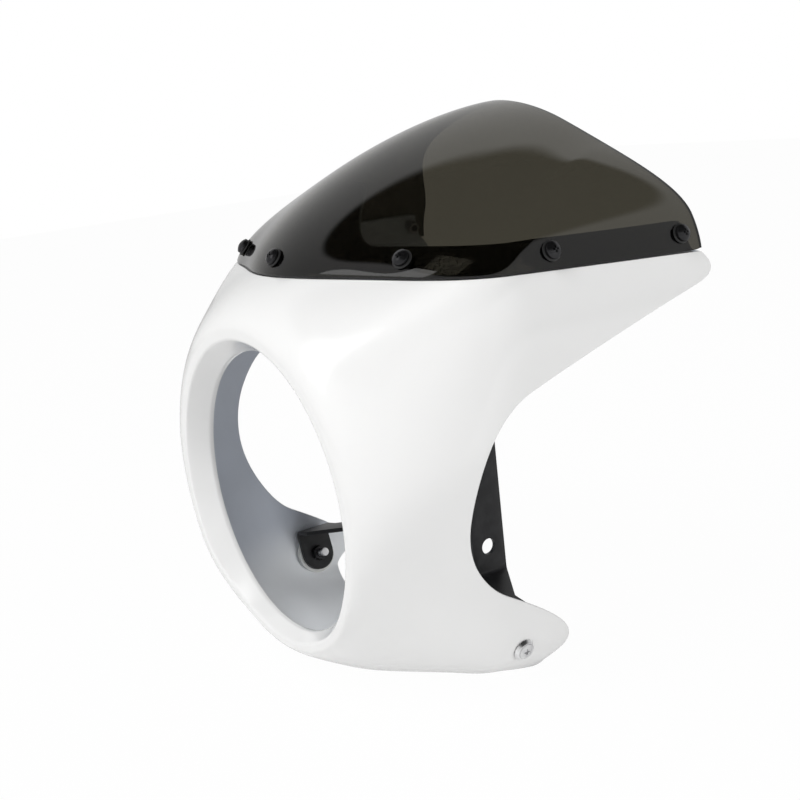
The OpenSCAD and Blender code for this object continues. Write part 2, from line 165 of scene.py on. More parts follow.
# The collar opens into a nearly straight band that ends in a tight lip
BAND_BACK, LIP_OUT, LIP_ROUND = 3.0, 0.74, 3.0
# Roundings where the collar bends into the band, and behind the lip
BAND_ROUND, INNER_ROUND = 4.0, 1.2


def sin(a):
    return np.sin(np.radians(a))


def cos(a):
    return np.cos(np.radians(a))


def smooth(t):
    c = np.clip(t, 0, 1)
    return c * c * (3 - 2 * c)


def unit(v):
    return v / np.maximum(np.linalg.norm(v, axis=-1, keepdims=True), 1e-12)


def stack(x, y, z):
    return np.stack(np.broadcast_arrays(x, y, z), axis=-1).astype(float)


def nose(a):
    return NOSE_R + (NOSE_LOW_R - NOSE_R) * smooth((-a - NOSE_A) / NOSE_SPREAD)


def front_y(a):
    return NOSE_R - nose(a)


def swell(a, y):
    """How far the chin's skin stands out of its plain form."""
    total = 0
    for at_a, at_y, wide, deep, high in CHIN_FORM:
        near = np.clip(np.abs((a - at_a) / wide), 0, 1)
        beside = np.clip(np.abs((y - at_y) / deep), 0, 1)
        total = total + high * (cos(90 * near) * cos(90 * beside)) ** 2
    return total


def skin_r(a, y):
    """Radius of the outer skin at an angle and a depth."""
    top = a >= 0
    half_w = BODY_W + (CHIN_W - BODY_W) * smooth((15 - a) / 40)
    half_h = np.where(top, BODY_H, CHIN_H + CHIN_DROP * np.minimum(y / FLAP_Y, 1))
    n = np.where(top, BODY_N, CHIN_N)
    full = ((np.abs(cos(a)) / half_w) ** n + (np.abs(sin(a)) / half_h) ** n) ** (-1 / n)
    oval = 1 / np.hypot(cos(a) / half_w, sin(a) / half_h)
    f = front_y(a)
    rim = OPENING_R + nose(a) + NOSE_FLAT
    t = np.clip((y - f) / (FLARE_L - f), 0, 1)
    flare = (1 - (1 - t) ** FLARE_N) ** (1 / FLARE_N)
    square = smooth(np.where(top, y / SHOULDER_L, (y - CORNER_Y0) / (CORNER_L - CORNER_Y0)))
    return rim + (oval - rim) * flare + (full - oval) * square + swell(a, y)


def skin(a, y):
    r = skin_r(a, y)
    return stack(r * cos(a), y, r * sin(a))


def skin_n(a, y):
    q = np.maximum(y, front_y(a) + 0.02)
    return unit(np.cross(skin(a, q + EPS) - skin(a, q - EPS), skin(a + 0.2, q) - skin(a - 0.2, q)))


def seam_h(y):
    return SEAM_Z - SEAM_K * y


def halve(low, high, test, rounds=30):
    """Value between low and high at which test turns false."""
    for _ in range(rounds):
        mid = (low + high) / 2
        low, high = (mid, high) if test(mid) else (low, mid)
    return (low + high) / 2


def angle_at(y, z, low=-89.0, high=89.0):
    return halve(low, high, lambda a: float(skin_r(a, y) * sin(a)) < z)


def corner_angle(y, z):
    return angle_at(y, z, 0.0, 48.0)


def depth_at(a):
    return halve(0.0, 90.0, lambda y: float(skin_r(a, y) * sin(a)) < seam_h(y))


CORNER_Y = EAR_Y - 6
SIDE_A = corner_angle(FLARE_L, seam_h(FLARE_L))


def seam_at(s):
    if s <= 0.5:
        y = CORNER_Y + (FLARE_L - CORNER_Y) * 2 * s
        return corner_angle(y, seam_h(y)), y
    a = SIDE_A + (90 - SIDE_A) * (2 * s - 1)
    return a, depth_at(a)


SEAM_S = np.linspace(0, 1, 401)
SEAM_Q = np.array([seam_at(float(s)) for s in SEAM_S])
SEAM_P = skin(SEAM_Q[:, 0], SEAM_Q[:, 1])
CORNER_P = SEAM_P[0]
ARCH_H = CROWN_Z - CORNER_P[2]


def seam_point(s):
    a = np.interp(s, SEAM_S, SEAM_Q[:, 0])
    y = np.interp(s, SEAM_S, SEAM_Q[:, 1])
    return skin(a, y)


def arch(s):
    z = sin(90 * s) ** (2 / ARCH_N)
    back = CORNER_Y + (CROWN_Y - CORNER_Y) * smooth((z - 0.22) / 0.63)
    return stack(CORNER_P[0] * np.maximum(cos(90 * s), 0) ** (2 / ARCH_N), back, CORNER_P[2] + ARCH_H * z)


def glass(s, w):
    f, a = seam_point(s), arch(s)
    u = 1 - np.maximum(cos(90 * w), 0) ** (2 / PROFILE_N)
    v = np.maximum(sin(90 * w), 0) ** (2 / PROFILE_N)
    k = stack(u, u, v)
    return f + (a - f) * k


def glass_n(s, w):
    t, c = np.clip(s, 0.02, 0.995), np.clip(w, 0.02, 0.985)
    n = unit(np.cross(glass(t, c + 0.01) - glass(t, c - 0.01), glass(t + 0.004, c) - glass(t - 0.004, c)))
    n[..., 0] = np.where(np.asarray(s) > 0.99, 0, n[..., 0])
    return unit(n)


def glass_in(s, w, d):
    return glass(s, w) - d * glass_n(s, w)


def reach(s):
    return arch(s)[..., 2] - seam_point(s)[..., 2]


def lift(s, h):
    """Place on a meridian at a height over the seam."""
    v = np.clip(h / np.maximum(reach(s), EPS), 0, 1)
    return np.degrees(np.arcsin(v ** (PROFILE_N / 2))) / 90


def flange_top(s):
    return np.minimum(FLANGE_H + (BROW_H - FLANGE_H) * smooth((s - 0.7) / 0.22), 0.985 * reach(s))


def place(points):
    """Millimetres behind the rim to metres in the part's frame."""
    return (np.asarray(points, float) - (0, DATUM_Y, 0)) / 1000


# Edge of one half of the shell, from the chin's centre to the seam's centre

def bezier(p, t):
    m = 1 - t
    return m ** 3 * p[0] + 3 * m * m * t * p[1] + 3 * m * t * t * p[2] + t ** 3 * p[3]


def side_curves():
    low = np.array([FLAP_Y - 16, FLAP_Z - 15.0])
    tip = np.array([FLAP_Y, FLAP_Z + 0.0])
    mid = np.array([(FLAP_Y + CUT_Y) / 2 - 10, FLAP_Z + 39])
    front = np.array([CUT_Y, CUT_Z + 0.0])
    root = np.array([CUT_Y + 42, CUT_Z + 70.0])
    ear = np.array([EAR_Y - 12, 104.0])
    top = np.array([CORNER_Y, seam_h(CORNER_Y)])
    return low, [
        (low, low + (6, 6), tip - (0, 8), tip),
        (tip, tip + (0, 12), mid + (16, -10), mid),
        (mid, mid - (14, -9), front - (0, 22), front),
        (front, front + (0, 30), root - (24, 8), root),
        (root, root + (24, 8), ear - (50, 12), ear),
        (ear, ear + (11, 3), top + (10, -10), top)]


# Angles on the rim that face the ends of the edge's stretches, and columns in each
RIM_MARKS = (-90, -52, -44, -30, -5, 14, 26, 30, 46, 90)
CHIN_COLUMNS, SIDE_COLUMNS, SEAM_COLUMNS = 40, (14, 24, 26, 26, 26, 26), (36, 56)


def half_edge():
    """Columns of the shell: rim angle, edge angle, edge depth and seam place."""
    low, curves = side_curves()
    low_a = angle_at(*low)
    rows = []
    for i in range(CHIN_COLUMNS):
        t = i / CHIN_COLUMNS
        rows.append((-90 + (low_a + 90) * t, CHIN_Y + (low[0] - CHIN_Y) * t * t, -1))
    for curve, steps in zip(curves, SIDE_COLUMNS):
        for i in range(steps):
            y, z = bezier(curve, i / steps)
            rows.append((angle_at(y, z), y, -1))
    along, over = SEAM_COLUMNS
    for s in [0.5 * i / along for i in range(along)] + [0.5 + 0.5 * i / over for i in range(over + 1)]:
        rows.append((*seam_at(s), s))
    counts = (CHIN_COLUMNS, *SIDE_COLUMNS, *SEAM_COLUMNS)
    rim = [RIM_MARKS[k] + (RIM_MARKS[k + 1] - RIM_MARKS[k]) * i / n
           for k, n in enumerate(counts) for i in range(n)] + [90]
    # A softer change of spacing where two stretches of columns meet
    rim = np.array(rim, float)
    for _ in range(12):
        rim[1:-1] = (rim[:-2] + 2 * rim[1:-1] + rim[2:]) / 4
    return rim, np.array(rows, float)


# Meshes

def new_object(name, data):
    obj = bpy.data.objects.new(name, data)
    bpy.context.scene.collection.objects.link(obj)
    return obj


def sharpen(bm, angle):
    limit = math.radians(angle)
    for face in bm.faces:
        face.smooth = True
    for edge in bm.edges:
        edge.smooth = len(edge.link_faces) == 2 and edge.calc_face_angle(0) < limit


def loft(name, points, bands, close_columns, merge=1e-5, sharp=35):
    """Mesh over columns of points in metres; bands give each row's material."""
    points = np.asarray(points)
    columns, rows = points.shape[:2]
    index = np.arange(columns * rows).reshape(columns, rows)
    if close_columns:
        index = np.vstack([index, index[:1]])
    index = np.hstack([index, index[:, :1]])
    quads = np.stack([index[:-1, :-1], index[:-1, 1:], index[1:, 1:], index[1:, :-1]], axis=-1)
    mesh = bpy.data.meshes.new(name)
    mesh.from_pydata(points.reshape(-1, 3).tolist(), [], quads.reshape(-1, 4).tolist())
    mesh.polygons.foreach_set("material_index", np.tile(bands, len(quads)).astype(np.int32))
    bm = bmesh.new()
    bm.from_mesh(mesh)
    if not close_columns:
        bmesh.ops.holes_fill(bm, edges=[e for e in bm.edges if e.is_boundary], sides=0)
    bmesh.ops.remove_doubles(bm, verts=bm.verts, dist=merge)
    bmesh.ops.dissolve_degenerate(bm, edges=bm.edges, dist=merge / 10)
    bmesh.ops.recalc_face_normals(bm, faces=bm.faces)
    sharpen(bm, sharp)
    bm.to_mesh(mesh)
    bm.free()
    return new_object(name, mesh)


def both_halves(half):
    """Columns of one half, then their mirror images, round to the start."""
    other = half[-2:0:-1].copy()
    other[..., 0] *= -1
    return np.concatenate([half, other])


def lathe(bm, profile, steps, matrix=Matrix(), hexagonal=False):
    """Solid of revolution about Z from (radius, height) pairs, closed on the axis.

    A hexagonal one has its widest radii stretched out to a hexagon over its flats.
    """
    widest = max(radius for radius, _ in profile)
    rings = []
    for radius, height in profile:
        if radius < 1e-7:
            rings.append([bm.verts.new(matrix @ Vector((0, 0, height)))])
            continue
        turns = [math.tau * k / steps for k in range(steps)]
        sixth = math.pi / 3
        flats = hexagonal and radius > widest - 1e-7
        radii = [radius / math.cos((t + sixth / 2) % sixth - sixth / 2) if flats else radius for t in turns]
        rings.append([bm.verts.new(matrix @ Vector((r * math.cos(t), r * math.sin(t), height)))
                      for r, t in zip(radii, turns)])
    for low, high in zip(rings, rings[1:]):
        for k in range(steps):
            n = (k + 1) % steps
            corners = [low[k % len(low)], low[n % len(low)], high[n % len(high)], high[k % len(high)]]
            bm.faces.new(list(dict.fromkeys(corners)))


def aim(point, normal):
    """Matrix that turns +Z to a direction and moves there, both in millimetres."""
    turn = Vector(normal).to_track_quat("Z", "X").to_matrix().to_4x4()
    return Matrix.Translation(Vector(place(point))) @ turn


def cut(obj, cutters):
    """Take the cutters, one closed mesh, out of an object."""
    tool = new_object(obj.name + "_cutter", cutters)
    mod = obj.modifiers.new("holes", "BOOLEAN")
    mod.operation = "DIFFERENCE"
    mod.solver = "MANIFOLD"
    mod.object = tool
    apply_modifiers(obj)
    while obj.data.materials and obj.data.materials[-1] is None:
        obj.data.materials.pop()
    bpy.data.objects.remove(tool)


def apply_modifiers(obj):
    depsgraph = bpy.context.evaluated_depsgraph_get()
    depsgraph.update()
    mesh = bpy.data.meshes.new_from_object(obj.evaluated_get(depsgraph))
    old = obj.data
    obj.modifiers.clear()
    obj.data = mesh
    mesh.name = obj.name
    bpy.data.meshes.remove(old)


def resharpen(obj, angle):
    bm = bmesh.new()
    bm.from_mesh(obj.data)
    sharpen(bm, angle)
    bm.to_mesh(obj.data)
    bm.free()


def to_mesh(name, bm):
    bmesh.ops.recalc_face_normals(bm, faces=bm.faces)
    mesh = bpy.data.meshes.new(name)
    bm.to_mesh(mesh)
    bm.free()
    return mesh


def from_bmesh(name, bm, sharp=35):
    obj = new_object(name, to_mesh(name, bm))
    resharpen(obj, sharp)
    return obj


def hold(obj, slot, *nodes, materials):
    """Give a piece its body and materials, and hide the nodes that it stands for; slot is not used."""
    slots = obj.data.materials
    for k, finish in enumerate(materials):
        if k < len(slots):
            slots[k] = finish
        else:
            slots.append(finish)
    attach(obj, BODY)
    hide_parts(*nodes)


# Shader maths

class Wire:
    """A node's output socket that takes part in Python expressions."""

    def __init__(self, tree, socket):
        self.tree = tree
        self.socket = socket

    def math(self, operation, *others):
        return add_node(self.tree, "ShaderNodeMath", {"operation": operation},
                        {k: v for k, v in enumerate((self, *others))}, 0)

    def __add__(self, other):
        return self.math("ADD", other)

    def __radd__(self, other):
        return self.math("ADD", other)

    def __sub__(self, other):
        return self.math("SUBTRACT", other)

    def __rsub__(self, other):
        return add_node(self.tree, "ShaderNodeMath", {"operation": "SUBTRACT"}, {0: other, 1: self}, 0)

    def __mul__(self, other):
        return self.math("MULTIPLY", other)

    def __rmul__(self, other):
        return self.math("MULTIPLY", other)

    def step(self, low, high):
        """0 below low and 1 over high, with a smooth change between them."""
        return add_node(self.tree, "ShaderNodeMapRange", {"interpolation_type": "SMOOTHSTEP"},
                        {"Value": self, "From Min": low, "From Max": high}, "Result")

    def mix(self, low, high):
        """Colour low where this is 0, and high where it is 1."""
        return add_node(self.tree, "ShaderNodeMix", {"data_type": "RGBA"},
                        {0: self, 6: low, 7: high}, 2)


def add_node(tree, kind, settings=None, inputs=None, output=0):
    node = tree.nodes.new(kind)
    for name, value in (settings or {}).items():
        setattr(node, name, value)
    for key, value in (inputs or {}).items():
        socket = node.inputs[key]
        if isinstance(value, Wire):
            tree.links.new(value.socket, socket)
        elif socket.type == "RGBA" and len(value) == 3:
            socket.default_value = (*value, 1)
        else:
            socket.default_value = value
    return Wire(tree, node.outputs[output])


def noise(tree, where, scale, detail=2.0, roughness=0.5, output=0):
    return add_node(tree, "ShaderNodeTexNoise", {},
                    {"Vector": where, "Scale": scale, "Detail": detail, "Roughness": roughness}, output)


def surface(owner, shader, kind):
    """Make a shader the surface of a material or a world."""
    out = owner.node_tree.nodes.new(kind)
    owner.node_tree.links.new(shader.socket, out.inputs["Surface"])


def material(name, build, **constants):
    """Principled material: constants are set on its sockets, build adds the rest."""
    made = bpy.data.materials.new(name)
    made.use_nodes = True
    tree = made.node_tree
    tree.nodes.clear()
    where = add_node(tree, "ShaderNodeTexCoord", output="Object")
    values = {key.replace("_", " "): value for key, value in constants.items()}
    values.update(build(tree, where))
    surface(made, add_node(tree, "ShaderNodeBsdfPrincipled", {}, values), "ShaderNodeOutputMaterial")
    return made


def bump(tree, height, strength, distance):
    return add_node(tree, "ShaderNodeBump", {},
                    {"Strength": strength, "Distance": distance, "Height": height}, "Normal")


def gloss_paint(name, base):
    def build(tree, where):
        wave = noise(tree, where, 55, 1.0)
        speck = noise(tree, where, 900, 2.0)
        tone = noise(tree, where, 9, 2.0)
        shade = tuple(c * 0.985 for c in base)
        return {
            "Base Color": tone.step(0.3, 0.7).mix(shade, base),
            "Roughness": 0.16 + 0.05 * speck,
            "Normal": bump(tree, wave + 0.04 * speck, 0.05, 0.0006),
        }
    return material(name, build, Coat_Weight=0.6, Coat_Roughness=0.03, IOR=1.5)


def bare_moulding(name, base, low):
    def build(tree, where):
        grain = noise(tree, where, 1400, 3.0, 0.6)
        cloud = noise(tree, where, 16, 3.0)
        height = add_node(tree, "ShaderNodeSeparateXYZ", {}, {0: where}, "Z")
        dark = tuple(c * 0.9 for c in base)
        plain = cloud.step(0.25, 0.75).mix(dark, base)
        return {
            # For the inside, the low colour below this height is painted light falling in through the
            # opening
            "Base Color": (height + 0.012 * cloud).step(-0.095, -0.055).mix(low, plain),
            "Roughness": 0.46 + 0.16 * grain,
            "Normal": bump(tree, grain, 0.18, 0.0002),
        }
    return material(name, build, IOR=1.48)


def smoked_acrylic(name, tint):
    def build(tree, where):
        wave = noise(tree, where, 12, 1.0)
        haze = noise(tree, where, 40, 2.0)
        return {
            "Base Color": haze.step(0.2, 0.8).mix(tuple(c * 0.985 for c in tint), tint),
            "Roughness": 0.008 + 0.012 * haze,
            "Normal": bump(tree, wave, 0.03, 0.0012),
        }
    return material(name, build, IOR=1.49, Transmission_Weight=1.0)


def coated_metal(name, base, rough, metallic, grain_scale=900, depth=0.00008):
    def build(tree, where):
        grain = noise(tree, where, grain_scale, 3.0, 0.6)
        cloud = noise(tree, where, 120, 2.0)
        light = tuple(min(c * 1.35 + 0.004, 1) for c in base)
        return {
            "Base Color": cloud.step(0.35, 0.75).mix(base, light),
            "Roughness": rough - 0.06 + 0.12 * grain,
            "Metallic": metallic,
            "Normal": bump(tree, grain, 0.25, depth),
        }
    return material(name, build)


def soft_plastic(name, base, rough):
    def build(tree, where):
        grain = noise(tree, where, 1800, 2.0)
        cloud = noise(tree, where, 60, 2.0)
        dark = tuple(c * 0.88 for c in base)
        return {
            "Base Color": cloud.step(0.3, 0.7).mix(dark, base),
            "Roughness": rough + 0.1 * grain,
            "Normal": bump(tree, grain, 0.2, 0.00012),
        }
    return material(name, build, IOR=1.5)


# Pieces

def arc(centre, first, second, radius, degrees):
    """Points of an arc from centre + first * r, turning towards second."""
    t = np.asarray(degrees)[None, :, None]
    return centre[:, None] + radius * (cos(t) * first[:, None] + sin(t) * second[:, None])


def fillet(a, c, b, radius, steps):
    """Points of an arc that rounds the corner c between a and b, all as (n, 2) arrays."""
    u, v = unit(a - c), unit(b - c)
    half = np.arccos(np.clip(np.sum(u * v, axis=1), -1, 1))[:, None] / 2
    centre = c + unit(u + v) * radius / np.sin(half)
    first = c + u * radius / np.tan(half) - centre
    last = c + v * radius / np.tan(half) - centre
    turn = np.pi - 2 * half
    t = np.linspace(0, 1, steps + 1)[None, :, None]
    w0 = np.sin((1 - t) * turn[:, None]) / np.sin(turn[:, None])
    w1 = np.sin(t * turn[:, None]) / np.sin(turn[:, None])
    return centre[:, None] + w0 * first[:, None] + w1 * last[:, None]


def nose_profiles(rim):
    """The band from the collar to the lip, and its inner side, at each rim angle."""
    n, f = nose(rim), front_y(rim)
    collar = np.full_like(rim, OPENING_R)
    start = np.stack([collar, np.full_like(rim, COLLAR_Y - BAND_BACK)], axis=1)
    lip = np.stack([collar + LIP_OUT * n, f], axis=1)
    flat = np.stack([collar + n + NOSE_FLAT, f], axis=1)
    along = unit(lip - start)
    across = np.stack([-along[:, 1], along[:, 0]], axis=1)
    out = np.concatenate([
        fillet(start + (0, 2.0), start, lip, BAND_ROUND, 6),
        fillet(start, lip, flat, LIP_ROUND, 10)], axis=1)
    back = start + WALL * across
    t = (f + WALL - back[:, 1]) / along[:, 1]
    corner = back + along * t[:, None]
    end = np.stack([flat[:, 0], f + WALL], axis=1)
    inside = np.concatenate([
        fillet(end, corner, back, INNER_ROUND, 8),
        (back + (OPENING_R + WALL - back[:, :1]) * (1, 0))[:, None]], axis=1)

    def around(profile):
        r, y = profile[..., 0], profile[..., 1]
        return stack(r * cos(rim)[:, None], y, r * sin(rim)[:, None])
    return around(out), around(inside)


# Steps along the skin's outside and inside and up the flange, and the last's spacing
OUT_N, IN_N, FLANGE_N, FLANGE_SPACING = 46, 34, 12, 1.3
# Order of the shell's materials; the third, on the flange under the windscreen, is a dark grey of painted
# shade
PAINTED, BARE, SHADED_FLANGE = 0, 1, 2
# Half of how far before the seam the inside turns to the flange
JOGGLE = 6
# Roundings of the seam's lip and of the collar's rear edge
SEAM_ROUND, COLLAR_ROUND = 0.45, 0.8


def shell_half(s_round):
    """Sections of one half of the shell, columns by rows, and each row's band."""
    rim, edge = half_edge()
    edge_a, edge_y, s = edge.T
    on_seam = (s > 0)[:, None, None]
    f = front_y(rim)

    def skin_path(v):
        a = rim[:, None] + (edge_a - rim)[:, None] * v
        y = f[:, None] + (edge_y - f)[:, None] * v * v
        return a, y

    span = np.linalg.norm(skin(edge_a, edge_y) - skin(rim, f), axis=1)
    # At its end the path runs about twice as fast as on average, so half a share is left
    v_end = 1 - (s_round / span / 2)[:, None]
    joggle = (1 - JOGGLE / span)[:, None]
    a, y = skin_path(v_end * np.linspace(0, 1, OUT_N + 1)[None])
    out = skin(a, y)
    stop = np.where(s[:, None] > 0, joggle, v_end)
    ai, yi = skin_path(stop * np.linspace(0, 1, IN_N + 1)[None])
    inner = skin(ai, yi) - WALL * skin_n(ai, yi)

    end_o = out[:, -1]
    normal = skin_n(a[:, -1], y[:, -1])
    ahead = unit(skin(edge_a, edge_y) - end_o)
    ahead = unit(ahead - normal * np.sum(ahead * normal, axis=1, keepdims=True))
    turn = np.linspace(0, 90, 6)
    corner_o = arc(end_o - s_round * normal, normal, ahead, s_round, turn)
    end_i = end_o - WALL * normal
    corner_i = arc(end_i + s_round * normal, ahead, -normal, s_round, turn)

    sc = np.clip(s, 0, 1)[:, None]
    back = SCREEN_T + FLANGE_GAP
    top = flange_top(sc)
    k = np.linspace(0, 1, FLANGE_N + 1)[None] ** FLANGE_SPACING
    h_out = (top - s_round) * k
    face = glass_in(sc, lift(sc, h_out), back)
    h_in = -1 + (top - s_round + 1) * k
    rear = glass_in(sc, lift(sc, np.maximum(h_in, 0)), back + WALL)
    rear[..., 2] += np.minimum(h_in, 0)
    fn = glass_n(s.clip(0, 1), lift(s.clip(0, 1), top[:, 0] - s_round))
    up = unit(face[:, -1] - face[:, -2])
    top_o = arc(face[:, -1] - s_round * fn, fn, up, s_round, turn)
    top_i = arc(rear[:, -1] + s_round * fn, up, -fn, s_round, turn)
    # The step from the seam in to the flange's foot
    seam_o = arc(end_o - SEAM_ROUND * normal, normal, ahead, SEAM_ROUND, turn)

    def pick(seam_rows, free_rows):
        return np.where(on_seam, seam_rows, free_rows)

    def repeat(point, n):
        return np.repeat(point[:, None], n, axis=1)

    n_turn = len(turn)
    ra = rim[:, None]
    nose_out, nose_in = nose_profiles(rim)

    t, c = np.linspace(0, 90, 5)[None], COLLAR_ROUND
    r_b = OPENING_R + c - c * sin(t)
    inner_edge = stack(r_b * cos(ra), COLLAR_Y - c + c * cos(t), r_b * sin(ra))
    r_c = OPENING_R + WALL - c + c * cos(t)
    outer_edge = stack(r_c * cos(ra), COLLAR_Y - c + c * sin(t), r_c * sin(ra))

    rows = [
        (inner_edge, PAINTED),
        (nose_out, PAINTED),
        (out, PAINTED),
        (pick(seam_o, corner_o), PAINTED),
        # The flange's face under the windscreen takes the dark grey of painted shade
        (pick(face, repeat(corner_o[:, -1], FLANGE_N + 1)), SHADED_FLANGE),
        (pick(top_o, repeat(corner_o[:, -1], n_turn)), BARE),
        (pick(top_i, corner_i), BARE),
        (pick(rear[:, ::-1], repeat(corner_i[:, -1], FLANGE_N + 1)), BARE),
        (inner[:, ::-1], BARE),
        (nose_in, BARE),
        (outer_edge, PAINTED),
    ]
    points = np.concatenate([r for r, _ in rows], axis=1)
    bands = np.concatenate([[band] * r.shape[1] for r, band in rows])
    return points, bands


def screw_places():
    """Points on the windscreen and its normals where the screws stand."""
    s = np.array(SCREW_S + (1.0,))
    rise = bpy.context.scene.cowl_fasteners.rise * 1000
    w = lift(s, rise)
    points, normals = glass(s, w), glass_n(s, w)
    places = []
    for p, n in zip(points, normals):
        places.append((p, n))
        if abs(p[0]) > 1:
            places.append((p * (-1, 1, 1), n * (-1, 1, 1)))
    return places


# Depth and height of the chin's screws
CHIN_SCREW = (100.0, -98.0)
# Radii of the holes, and how far the drills reach through the screen, flange and chin
SCREEN_HOLE, CHIN_HOLE = 0.00275, 0.00325
THROUGH_SCREEN, THROUGH_FLANGE, THROUGH_CHIN, DRILL_OVER = 0.006, 0.0116, 0.007, 0.004


def chin_places():
    a = angle_at(*CHIN_SCREW)
    point = skin(a, CHIN_SCREW[0])
    n = skin_n(a, CHIN_SCREW[0])
    n = unit(np.array([n[0], 0, n[2]]))
    return [(point, n), (point * (-1, 1, 1), n * (-1, 1, 1))]


def drill(places, radius, deep):
    """Mesh of the cylinders that bore the holes at some places."""
    bm = bmesh.new()
    for p, n in places:
        lathe(bm, [(0, -deep), (radius, -deep), (radius, DRILL_OVER), (0, DRILL_OVER)], 48, aim(p, n))
    return to_mesh("drills", bm)


class COWL_OT_shell(bpy.types.Operator):
    """Build the moulded shell with its rolled nose, flange and rounded edges"""
    bl_idname = "cowl.shell"
    bl_label = "Shell"

    def execute(self, context):
        sizes = context.scene.cowl_shell
        half, bands = shell_half(sizes.edge_round * 1000)
        points = place(both_halves(half))
        obj = loft("cowl_shell_moulded", points, bands, True)
        hold(obj, "shell_white", "cowl_shell", materials=[
            gloss_paint("gloss_white", sizes.paint),
            # The inside's pale bottom colour is painted light
            bare_moulding("bare_inside", sizes.inside, sizes.light_pool),
            # The flange's dark grey is painted shade
            bare_moulding("primed_flange", sizes.flange, sizes.flange)])
        cut(obj, drill(screw_places(), SCREEN_HOLE, THROUGH_FLANGE))
        cut(obj, drill(chin_places(), CHIN_HOLE, THROUGH_CHIN))
        resharpen(obj, 35)
        return {"FINISHED"}


# First column of the windscreen and its columns on the sides, over the front and up
SHEET_START, SHEET_SIDE, SHEET_FRONT, SHEET_UP = 0.02, 34, 64, 56
# Share of a meridian that the rounding of the rear edge takes
SHEET_END = 0.0035


class COWL_OT_windscreen(bpy.types.Operator):
    """Build the smoked windscreen as one sheet with polished edges"""
    bl_idname = "cowl.windscreen"
    bl_label = "Windscreen"

    def execute(self, context):
        sizes = context.scene.cowl_windscreen
        thick = sizes.thickness * 1000
        r = sizes.edge_round * 1000
        sides = np.linspace(SHEET_START, 0.5, SHEET_SIDE)[:-1]
        s = np.concatenate([sides, np.linspace(0.5, 1, SHEET_FRONT)])[:, None]
        w_low = lift(s, SEAM_GAP + r)
        w = w_low + (1 - SHEET_END - w_low) * np.linspace(0, 1, SHEET_UP)[None]
        outer, inner = glass(s, w), glass_in(s, w, thick)
        turn = np.linspace(0, 90, 6)[1:]

        def rim_arcs(column, forward):
            n = glass_n(s[:, 0], w[:, column])
            ahead = unit(forward - n * np.sum(forward * n, axis=1, keepdims=True))
            first = arc(outer[:, column] - r * n, n, ahead, r, turn)
            second = arc(inner[:, column] + r * n, ahead, -n, r, np.linspace(0, 90, 6)[:-1])
            return np.concatenate([first, second], axis=1)

        top = rim_arcs(-1, outer[:, -1] - outer[:, -2])
        low = rim_arcs(0, outer[:, 0] - outer[:, 1])[:, ::-1]
        half = np.concatenate([outer, top, inner[:, ::-1], low], axis=1)
        points = np.concatenate([half, half[-2::-1] * (-1, 1, 1)])
        bands = np.zeros(points.shape[1])
        rows = outer.shape[1]
        bands[rows - 1:rows + top.shape[1]] = 1
        bands[-low.shape[1] - 1:] = 1
        obj = loft("windscreen_sheet", place(points), bands, False, merge=2e-6)
        hold(obj, "smoked_acrylic", "windscreen", materials=[
            smoked_acrylic("smoked_acrylic", tuple(sizes.tint)),
            soft_plastic("smoked_edge", tuple(sizes.edge), 0.12)])
        cut(obj, drill(screw_places(), SCREEN_HOLE, THROUGH_SCREEN))
        resharpen(obj, 35)
        return {"FINISHED"}


# Cross recess of a screen screw: size, width, depth, and its spread at mouth and floor
CROSS_SIZE, CROSS_WIDTH, CROSS_DEPTH, CROSS_MOUTH, CROSS_FLOOR = 0.0052, 0.0012, 0.0021, 1.25, 0.42


def cross_cutter(bm, matrix, top):
    """Tapered cross recess whose mouth lies at a height."""
    for turn in (0, math.pi / 2):
        spin = matrix @ Matrix.Rotation(turn, 4, "Z")
        corners = []
        for z, k in ((top + 0.002, CROSS_MOUTH), (top - CROSS_DEPTH, CROSS_FLOOR)):
            half_x, half_y = CROSS_SIZE / 2 * k, CROSS_WIDTH / 2 * (0.6 + 0.4 * k)
            for x, y in ((-1, -1), (1, -1), (1, 1), (-1, 1)):
                corners.append(bm.verts.new(spin @ Vector((x * half_x, y * half_y, z))))
        for face in ((0, 1, 2, 3), (7, 6, 5, 4), (0, 4, 5, 1), (1, 5, 6, 2), (2, 6, 7, 3), (3, 7, 4, 0)):
            bm.faces.new([corners[i] for i in face])


def dome(radius, height, steps):
    """Profile of a cap from its rim to its top."""
    ball = (radius * radius + height * height) / (2 * height)
    low = math.asin(radius / ball)
    return [(ball * math.sin(low * (1 - k / steps)),
             height - ball + ball * math.cos(low * (1 - k / steps))) for k in range(steps + 1)]


# Gap under a washer, washers in front and behind, nuts, and where the flange ends
SEAT, WASHER_T, BACK_WASHER_T, NUT_H = 0.00005, 0.0012, 0.001, 0.004
NUT_W, BACK_WASHER_R, FLANGE_BACK, SCREW_OVER = 0.008, 0.005, 0.0075, 0.001
# Height of a head and of its ribbed flank, with the ribs' count and depth
HEAD_H, FLANK_H, RIBS, RIB_DEPTH = 0.0041, 0.0021, 14, 0.00018
TIP_CHAMFER, WASHER_ROUND, RING_CHAMFER, NUT_CHAMFER = 0.0006, 0.00035, 0.00012, 0.0003
MERGE = 1e-7


def ring(inner, outer, low, high, c):
    """Closed profile of a ring with a chamfer round its outside."""
    return [(inner, low), (outer - c, low), (outer, low + c), (outer, high - c), (outer - c, high),
            (inner, high), (inner, low)]


def soft_ring(inner, outer, low, high, c):
    """Closed profile of a ring with all its edges broken."""
    return [(inner, low + c), (inner + c, low), (outer - c, low), (outer, low + c), (outer, high - c),
            (outer - c, high), (inner + c, high), (inner, high - c), (inner, low + c)]


def at_each(places, build):
    """Mesh filled by build once at each place, with its seams merged."""
    bm = bmesh.new()
    for m in places:
        build(bm, m)
    bmesh.ops.remove_doubles(bm, verts=bm.verts, dist=MERGE)
    return bm


